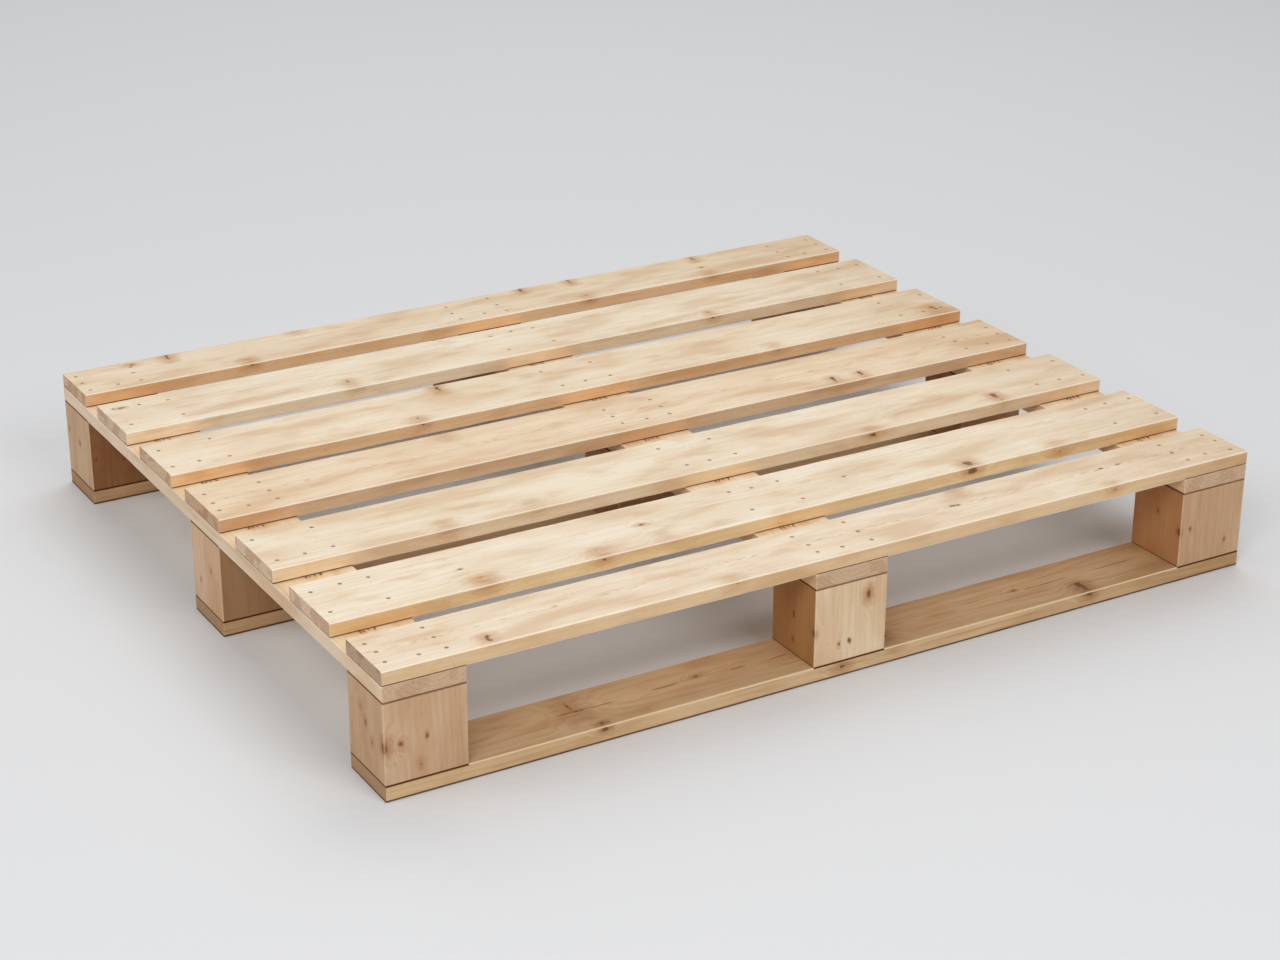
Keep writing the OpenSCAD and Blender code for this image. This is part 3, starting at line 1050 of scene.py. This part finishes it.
@dataclass(frozen=True)
class NailSteel:
    """Bright drawn wire gone dull: a brownish grey, with a brown bloom."""

    steel: str = "#B99A78"
    bloom: str = "#83603F"
    roughness: float = 0.65
    metallic: float = 0.15  # most of the head lies under a film of dirt
    spots_per_metre: float = 500.0  # of bloom, each about 2 mm across

    def material(self) -> bpy.types.Material:
        """Makes the steel.

        Returns:
            The material.
        """
        made = bpy.data.materials.new("drawn_wire_steel")
        made.use_nodes = True
        tree = made.node_tree
        tree.nodes.clear()
        out = add_node(tree, "ShaderNodeOutputMaterial")
        skin = add_node(tree, "ShaderNodeBsdfPrincipled", {"Metallic": self.metallic})
        tree.links.new(skin.outputs[0], out.inputs[0])
        place = add_node(tree, "ShaderNodeTexCoord").outputs["Object"]
        spots = add_node(tree, "ShaderNodeTexNoise",
                         {"Vector": place, "Scale": self.spots_per_metre, "Detail": 3.0})
        share = add_node(tree, "ShaderNodeMapRange",
                         {"Value": spots.outputs[0], "From Min": 0.42, "From Max": 0.62})
        colour = add_node(tree, "ShaderNodeMix",
                          {"Factor": share.outputs[0], "A": linear(self.steel), "B": linear(self.bloom)},
                          data_type="RGBA")
        tree.links.new(colour.outputs["Result"], skin.inputs["Base Color"])
        rough = add_node(tree, "ShaderNodeMapRange",
                         {"Value": spots.outputs[0], "To Min": self.roughness,
                          "To Max": self.roughness + 0.25})
        tree.links.new(rough.outputs[0], skin.inputs["Roughness"])
        bumps = add_node(tree, "ShaderNodeBump",
                         {"Height": spots.outputs[0], "Strength": 0.6, "Distance": 0.05 * MM})
        tree.links.new(bumps.outputs[0], skin.inputs["Normal"])
        return made


# ---------------------------------------------------------------------------------------------
# The pallet


# Each timber's colours, as it leaves the saw or the planer, with painted shade and highlights laid over
# them
DECK = PineFinish(one_end_tint="#F3EDE7", arris_highlight_share=0.62)
STRINGER = PineFinish(early="#EFDCBC", late="#DCBC90", edge="#F7EDE7", end="#D1AF8D", end_patch="#BD9672",
                      arris_highlight_share=0.3)
BLOCK = PineFinish(name="sawn_pine", pale="#EAD2B2", early="#E0C29C", late="#C79D72", tan="#C99E76",
                   flame="#BC8A5E", edge="#FFFFFF", end="#C2A07A", inside_shade="#CDB097", stain="#A8693A",
                   knot="#8A5630", arris_highlight="#F2DABC", ring_mm=6.5, ring_share=0.35, patch_share=0.38,
                   flame_share=0.35, arris_highlight_share=0.25, seam_share=0.62, roughness=0.62)
BOTTOM = PineFinish(pale="#DCC29C", early="#D2B68F", late="#B98E60", tan="#BD9468", flame="#A87848",
                    edge="#FFF9F0", end="#B5906A", one_end_tint="#DCCDBA", inside_shade="#F2E8E2", stain="#96663C",
                    knot="#7C4E2C", arris_highlight="#EBD3AE", ring_share=0.4, flame_share=0.5,
                    dash_mm=(48.0, 4.5), dash_share=0.8)

# Ways in which a branch heads through a board or a block
UP = (0.12, 0.0, 1.0)
ACROSS = (0.05, 1.0, 0.1)
ALONG = (1.0, 0.1, 0.0)
INTO_Y = (0.0, 1.0, 0.1)
INTO_X = (1.0, 0.0, 0.1)
THROUGH_CORNER = (0.7, 0.7, 0.1)

# The tones of the seven deck boards, the painted shade and bounce light on their long edges, and the tones
# of their ends, from the near side
DECK_TONES = ("#FCF9F7", "#FFFFFF", "#FEFDFB", "#FBF2E9", "#FEFBF7", "#FFFFFE", "#F8F3ED")
DECK_EDGE_SHADES = ("#EFDEC5", "#F9F1DB", "#FFFFFF", "#EDE4DF", "#FDEAD6", "#FFFFFF", "#FDEBD9")
DECK_ENDS = ("#DAD3CC", "#FFFFFF", "#FEFFFE", "#EADFD5", "#F3F2EA", "#FAFCF8", "#F6F2EB")

DECK_KNOTS: dict[int, tuple[Knot, ...]] = {
    1: (Knot((134, 15, 18), 1.2, 13, ACROSS, 6, 0.75), Knot((442, 8, 16), 0.5, 15, ACROSS, 8, 0.5),
        Knot((777, 48, 18), 1.8, 6, UP), Knot((784, 47, 18), 1.5, 5, UP),
        Knot((806, 84, 16), 0.6, 16, ACROSS, 12, 0.6), Knot((1004, 49, 18), 1.4, 4, UP),
        Knot((1032, 49, 18), 1.3, 4, UP), Knot((986, 0, 12), 0.8, 14, ACROSS, 8, 0.7)),
    2: (Knot((186, 53, 18), 1.5, 5, UP), Knot((196, 10, 16), 0.5, 18, ACROSS, 12, 0.8),
        Knot((345, 6, 15), 1.2, 16, ACROSS, 14, 0.8), Knot((426, 56, 18), 1.6, 10, UP, 10, 0.8),
        Knot((434, 12, 16), 0.4, 14, ACROSS, 12, 0.4), Knot((870, 6, 14), 3.2, 17, ACROSS, 10, 1.0),
        Knot((1006, 0, 10), 0.8, 18, ACROSS, 8, 0.8), Knot((1125, 98, 15), 0.4, 18, ALONG, 24, 0.5),
        Knot((714, 55, 18), 1.3, 5, UP)),
    3: (Knot((226, 12, 15), 0.4, 16, ACROSS, 10, 0.6), Knot((344, 14, 16), 0.4, 14, ACROSS, 10, 0.5),
        Knot((830, 0, 13), 1.8, 14, ACROSS, 8, 0.9), Knot((1038, 16, 17), 1.4, 13, ACROSS, 12, 0.8),
        Knot((938, 36, 15), 0.3, 24, ALONG, 40, 0.4)),
    4: (Knot((888, 15, 17), 1.2, 11, ACROSS, 10, 0.7), Knot((932, 15, 17), 1.1, 10, ACROSS, 10, 0.7),
        Knot((348, 95, 16), 0.4, 14, ACROSS, 10, 0.5)),
    5: (Knot((412, 92, 17), 1.1, 14, ACROSS, 12, 0.8), Knot((344, 8, 16), 1.0, 14, ACROSS, 10, 0.7),
        Knot((888, 8, 16), 0.4, 14, ACROSS, 10, 0.5), Knot((1172, 20, 16), 1.6, 22, ACROSS, 14, 0.8)),
    6: (Knot((24, 85, 18), 1.8, 10, UP, 12, 0.8), Knot((170, 25, 16), 0.4, 16, ALONG, 70, 0.45),
        Knot((320, 17, 16), 1.0, 14, ACROSS, 12, 0.7), Knot((900, 25, 16), 0.4, 14, ALONG, 150, 0.4),
        Knot((880, 9, 16), 0.9, 13, ACROSS, 10, 0.7)),
    7: (Knot((92, 76, 18), 1.6, 11, UP, 12, 0.8), Knot((144, 74, 17), 1.2, 13, ACROSS, 12, 0.9),
        Knot((236, 6, 16), 0.9, 15, ACROSS, 10, 0.9), Knot((336, 88, 16), 0.7, 14, ACROSS, 10, 0.7),
        Knot((692, 78, 17), 1.1, 12, ACROSS, 10, 0.8), Knot((772, 76, 17), 1.1, 12, ACROSS, 10, 0.8),
        Knot((764, 6, 16), 0.7, 13, ACROSS, 10, 0.7), Knot((976, 38, 18), 1.3, 8, UP, 10, 0.6),
        Knot((984, 74, 17), 1.0, 12, ACROSS, 10, 0.7), Knot((972, 6, 16), 0.7, 13, ACROSS, 10, 0.7)),
}

# The tones of the blocks that stand in view, the painted shade on their inner faces, and their knots
BLOCK_TONES = {"front_left": "#E3D6CE", "front_right": "#E0D1C7", "middle_left": "#F2E6E0",
               "back_left": "#E7DAD2"}
BLOCK_INNER_SHADE = {"front_centre": "#CEAE85", "front_right": "#F6DCBE", "middle_left": "#D2C5B5",
               "back_left": "#BC9E80"}
BLOCK_KNOTS: dict[str, tuple[Knot, ...]] = {
    "front_left": (
        Knot((0, 1, 46), 2.6, 13, THROUGH_CORNER, 10, 1.0), Knot((20, 0, 47), 1.5, 7, INTO_Y, 8, 0.9),
        Knot((51, 0, 49), 1.3, 5, INTO_Y, 8, 0.8), Knot((43, 0, 17), 0.8, 9, INTO_Y, 8, 0.6),
        Knot((0, 45, 58), 1.8, 7, INTO_X, 8, 0.9), Knot((0, 58, 72), 0.8, 7, INTO_X, 8, 0.6),
        Knot((0, 30, 40), 0.8, 8, INTO_X, 8, 0.7)),
    "front_centre": (
        Knot((74, 0, 78), 2.2, 13, (0.0, 1.0, 0.3), 8, 1.0), Knot((49, 0, 24), 1.7, 4, INTO_Y, 8, 0.8),
        Knot((34, 0, 22), 1.0, 5, INTO_Y, 8, 0.6), Knot((0, 45, 52), 1.8, 6, INTO_X, 8, 0.9),
        Knot((0, 2, 44), 1.5, 8, THROUGH_CORNER, 8, 0.9), Knot((0, 46, 18), 1.4, 8, INTO_X, 8, 0.8)),
    "front_right": (
        Knot((16, 0, 50), 1.3, 5, INTO_Y, 8, 0.8), Knot((74, 0, 22), 1.2, 5, INTO_Y, 8, 0.8),
        Knot((0, 3, 48), 2.0, 8, THROUGH_CORNER, 8, 0.9), Knot((0, 44, 62), 1.2, 7, INTO_X, 8, 0.8)),
    "middle_left": (Knot((0, 30, 56), 1.4, 7, INTO_X, 8, 0.7), Knot((0, 66, 30), 1.1, 6, INTO_X, 8, 0.6)),
    "back_left": (Knot((0, 40, 56), 1.6, 6, INTO_X, 8, 0.9), Knot((0, 80, 62), 1.2, 7, INTO_X, 8, 0.7),
                  Knot((8, 0, 44), 1.8, 9, INTO_Y, 8, 0.9), Knot((46, 0, 36), 1.6, 9, INTO_Y, 8, 0.8)),
}
BOTTOM_KNOTS: dict[str, tuple[Knot, ...]] = {
    "front": (Knot((271, 3, 17), 1.8, 10, ACROSS, 6, 1.0), Knot((256, 60, 20), 0.6, 20, ACROSS, 32, 0.5),
              Knot((258, 46, 20), 1.2, 6, UP), Knot((265, 45, 20), 1.0, 5, UP),
              Knot((668, 20, 18), 1.0, 14, ACROSS, 14, 0.7),
              Knot((960, 12, 18), 2.0, 15, ACROSS, 14, 0.9), Knot((590, 3, 12), 1.6, 14, ACROSS, 8, 0.8),
              Knot((880, 50, 20), 1.2, 7, UP), Knot((420, 52, 20), 1.0, 9, UP)),
    "middle": (Knot((240, 8, 18), 1.6, 16, ACROSS, 14, 0.8), Knot((760, 60, 20), 2.0, 9, UP)),
    "back": (Knot((180, 8, 18), 1.4, 14, ACROSS, 14, 0.8), Knot((930, 50, 20), 1.8, 9, UP)),
}


def torn_fibres(column: str, board: int) -> tuple[Knot, ...]:
    """Makes the short tears that a deck board left in a stringer board, just in front of itself.

    Args:
        column: which stringer board.
        board: the deck board's number.

    Returns:
        The tears.
    """
    front = (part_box(f"deck_board_{board}")[0][1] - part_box(f"stringer_board_{column}")[0][1]) / MM
    # The tears cross the grain near the stringer board's middle. Sines and cosines make no two alike.
    middle = 48.0 + 6.0 * math.sin(3.0 * board + len(column))
    tears = []
    for step in (-9.0, -5.0, 1.0, 8.0):
        place = (middle + step, front - 2.2 + 0.8 * math.cos(7.0 * step), 20.0)
        heading = (0.5 * math.sin(3.0 * step + board), 1.0, 0.0)
        reach = 1.6 + 0.8 * math.cos(4.0 * step)
        tears.append(Knot(place, 0.5 + 0.03 * abs(step), 4.0, heading, reach, 0.8))
    return tuple(tears)


@dataclass
class Pallet:
    """The whole pallet, made of its timbers and nails."""

    timbers: list[Timber] = field(default_factory=list)
    nails: list[NailSet] = field(default_factory=list)

    def __post_init__(self) -> None:
        """Lists the timbers and nails by their CAD nodes."""
        columns, rows = ("left", "centre", "right"), ("front", "middle", "back")
        stringer, block = (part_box(node) for node in ("stringer_board_right", "block_back_right"))
        on_stringers = ((stringer[0][0] + stringer[1][0]) / 2,
                        (stringer[1][0] - stringer[0][0]) / 2, -1.0)
        on_blocks = ((block[0][1] + block[1][1]) / 2, (block[1][1] - block[0][1]) / 2, -1.0)
        under_blocks = ((block[0][0] + block[1][0]) / 2, (block[1][0] - block[0][0]) / 2, 1.0)
        # Each timber grew in a trunk of its own, so its pith and its lean wander from one to the next.
        for i in range(1, 8):
            self.timbers.append(Timber(
                f"deck_board_{i}", Grain.ALONG_X, DECK, "deck_wood", seed=11 + i, knots=DECK_KNOTS[i],
                tone=DECK_TONES[i - 1], edge=DECK_EDGE_SHADES[i - 1], end=DECK_ENDS[i - 1], seat=on_stringers,
                heart_mm=(14.0 * math.sin(2.1 * i), -44.0 - 9.0 * math.cos(1.7 * i)),
                lean=(0.008 * math.sin(i), 0.010 * math.cos(2.3 * i)),
                fleck_mm=(2.0 if i in (1, 4) else None)))
        for i, column in enumerate(columns):
            self.timbers.append(Timber(
                f"stringer_board_{column}", Grain.ALONG_Y, STRINGER, "stringer_wood", seed=31 + i,
                heart_mm=(-10.0 + 8 * i, 42.0), seat=on_blocks,
                knots=tuple(tear for board in range(2, 8) for tear in torn_fibres(column, board))))
        for k, row in enumerate(rows):
            for j, column in enumerate(columns):
                name = f"{row}_{column}"
                self.timbers.append(Timber(
                    f"block_{name}", Grain.UPRIGHT, BLOCK, "block_wood", seed=41 + 3 * k + j,
                    knots=BLOCK_KNOTS.get(name, ()), tone=BLOCK_TONES.get(name, "#FFFFFF"),
                    inner=BLOCK_INNER_SHADE.get(name),
                    heart_mm=(20.0 * math.sin(3.0 * k + j), 60.0 + 12.0 * math.cos(2.0 * j + k)),
                    edge_radius_mm=1.0, end_radius_mm=1.0))
        for k, row in enumerate(rows):
            self.timbers.append(Timber(
                f"bottom_board_{row}", Grain.ALONG_X, BOTTOM, "bottom_wood", seed=61 + k,
                knots=BOTTOM_KNOTS[row], heart_mm=(6.0 - 5 * k, -40.0), fleck_mm=2.0, seat=under_blocks))
        for j, column in enumerate(columns):
            self.nails.append(NailSet(f"deck_nails_{column}", Driven.DOWN, 71 + j))
            self.nails.append(NailSet(f"block_nails_{column}", Driven.DOWN, 81 + j))
        for k, row in enumerate(rows):
            self.nails.append(NailSet(f"bottom_nails_{row}", Driven.UP, 91 + k))

    def holes_in(self, timber: Timber, tree: bpy.types.GeometryNodeTree,
                 shapes: dict[str, bpy.types.Object]) -> bpy.types.Object:
        """Joins the holes of all the nails that go into a timber.

        Args:
            timber: the timber that is cut.
            tree: the tree that drives nails.
            shapes: one hole of each set of nails, by the set's node.

        Returns:
            An object with all the holes.
        """
        work = bmesh.new()
        for nails in self.nails:
            places = nails.meets(timber)
            if places:
                cut = nails.spread(f"holes_{timber.node}", tree, shapes[nails.node], places, None)
                work.from_mesh(cut.data)
                bpy.data.meshes.remove(cut.data)
        mesh = bpy.data.meshes.new(f"holes_{timber.node}")
        work.to_mesh(mesh)
        work.free()
        holes = bpy.data.objects.new(f"holes_{timber.node}", mesh)
        bpy.context.collection.objects.link(holes)
        return holes

    def build(self) -> None:
        """Builds every timber and nail, and reports each."""
        shape, driver, branch = timber_tree(), driven_tree(), knot_group()
        hole_shapes = {nails.node: nails.hole() for nails in self.nails}
        for timber in self.timbers:
            holes = self.holes_in(timber, driver, hole_shapes)
            piece = timber.build(shape, holes, branch)
            bpy.data.meshes.remove(holes.data)
            LOG.info("%s: %d faces", piece.name, len(piece.data.polygons))
        for shape_object in hole_shapes.values():
            bpy.data.meshes.remove(shape_object.data)
        steel = NailSteel().material()
        for nails in self.nails:
            piece = nails.build(driver, steel)
            LOG.info("%s: %d nails, %d faces", piece.name, len(nails.heads), len(piece.data.polygons))


# ---------------------------------------------------------------------------------------------
# The studio


@dataclass(frozen=True)
class Softbox:
    """One square soft light that faces the pallet."""

    name: str
    place: tuple[float, float, float]
    size: float  # of its side
    power: float  # in watts
    target: tuple[float, float, float] = (0.0, 0.0, 0.1)

    def build(self) -> bpy.types.Object:
        """Makes the light.

        Returns:
            The lamp.
        """
        data = bpy.data.lights.new(self.name, "AREA")
        data.size, data.energy = self.size, self.power
        lamp = bpy.data.objects.new(self.name, data)
        lamp.location = self.place
        facing = Vector(self.target) - Vector(self.place)
        lamp.rotation_euler = facing.to_track_quat("-Z", "Y").to_euler()
        bpy.context.collection.objects.link(lamp)
        return lamp


@dataclass(frozen=True)
class Studio:
    """A pale floor under soft light, and the camera."""

    floor_size: float = 120.0
    floor_grey: str = "#E0E0E0"
    floor_roughness: float = 0.9
    air: str = "#E6ECF6"
    air_strength: float = 0.2
    softboxes: tuple[Softbox, ...] = (
        Softbox("overhead_softbox", (0.6, 0.4, 4.2), 4.5, 32.0),
        Softbox("right_softbox", (2.5, 2.5, 4.5), 4.0, 82.0),
        Softbox("left_softbox", (-4.5, 0.5, 3.2), 2.5, 50.0),
        Softbox("front_softbox", (0.5, -4.5, 3.4), 2.5, 90.0),
        Softbox("corner_softbox", (-3.5, -3.5, 4.0), 2.5, 130.0),
        Softbox("back_softbox", (0.0, 5.5, 4.0), 3.0, 50.0),
    )
    camera_place: tuple[float, float, float] = (-1.6295, -2.7909, 1.4620)
    heading_deg: float = 30.396  # clockwise from +Y, seen from above
    tilt_deg: float = 23.446  # below the horizon
    roll_deg: float = 0.178
    lens_mm: float = 75.31
    sensor_mm: float = 36.0

    def floor(self) -> bpy.types.Object:
        """Makes the floor.

        Returns:
            The floor, which is no part of the pallet.
        """
        half = self.floor_size / 2
        mesh = bpy.data.meshes.new("studio_floor")
        mesh.from_pydata([(-half, -half, 0), (half, -half, 0), (half, half, 0), (-half, half, 0)], [],
                         [(0, 1, 2, 3)])
        made = bpy.data.materials.new("matt_paper_floor")
        made.use_nodes = True
        skin = made.node_tree.nodes["Principled BSDF"]
        skin.inputs["Base Color"].default_value = linear(self.floor_grey)
        skin.inputs["Roughness"].default_value = self.floor_roughness
        mesh.materials.append(made)
        floor = bpy.data.objects.new("studio_floor", mesh)
        bpy.context.collection.objects.link(floor)
        return floor

    def camera(self) -> bpy.types.Object:
        """Makes the camera, at the viewing angle that the pallet is shown from.

        Returns:
            The camera.
        """
        data = bpy.data.cameras.new("camera")
        data.lens, data.sensor_width = self.lens_mm, self.sensor_mm
        camera = bpy.data.objects.new("camera", data)
        camera.location = self.camera_place
        turn = Matrix.Rotation(math.radians(-self.heading_deg), 4, "Z")
        tilt = Matrix.Rotation(math.radians(90 - self.tilt_deg), 4, "X")
        roll = Matrix.Rotation(math.radians(self.roll_deg), 4, "Z")
        camera.rotation_euler = (turn @ tilt @ roll).to_euler()
        bpy.context.collection.objects.link(camera)
        bpy.context.scene.camera = camera
        return camera

    def build(self) -> None:
        """Sets up the floor, the lights and the camera."""
        self.floor()
        self.camera()
        for softbox in self.softboxes:
            softbox.build()
        world = bpy.data.worlds.new("studio_air")
        world.use_nodes = True
        background = world.node_tree.nodes["Background"]
        background.inputs["Color"].default_value = linear(self.air)
        background.inputs["Strength"].default_value = self.air_strength
        bpy.context.scene.world = world
        bpy.context.scene.view_settings.view_transform = "Standard"


def main() -> None:
    """Builds the studio and the pallet."""
    logging.basicConfig(level=logging.INFO, format="%(name)s: %(message)s")
    Studio().build()
    Pallet().build()


if __name__ == "__main__":
    main()
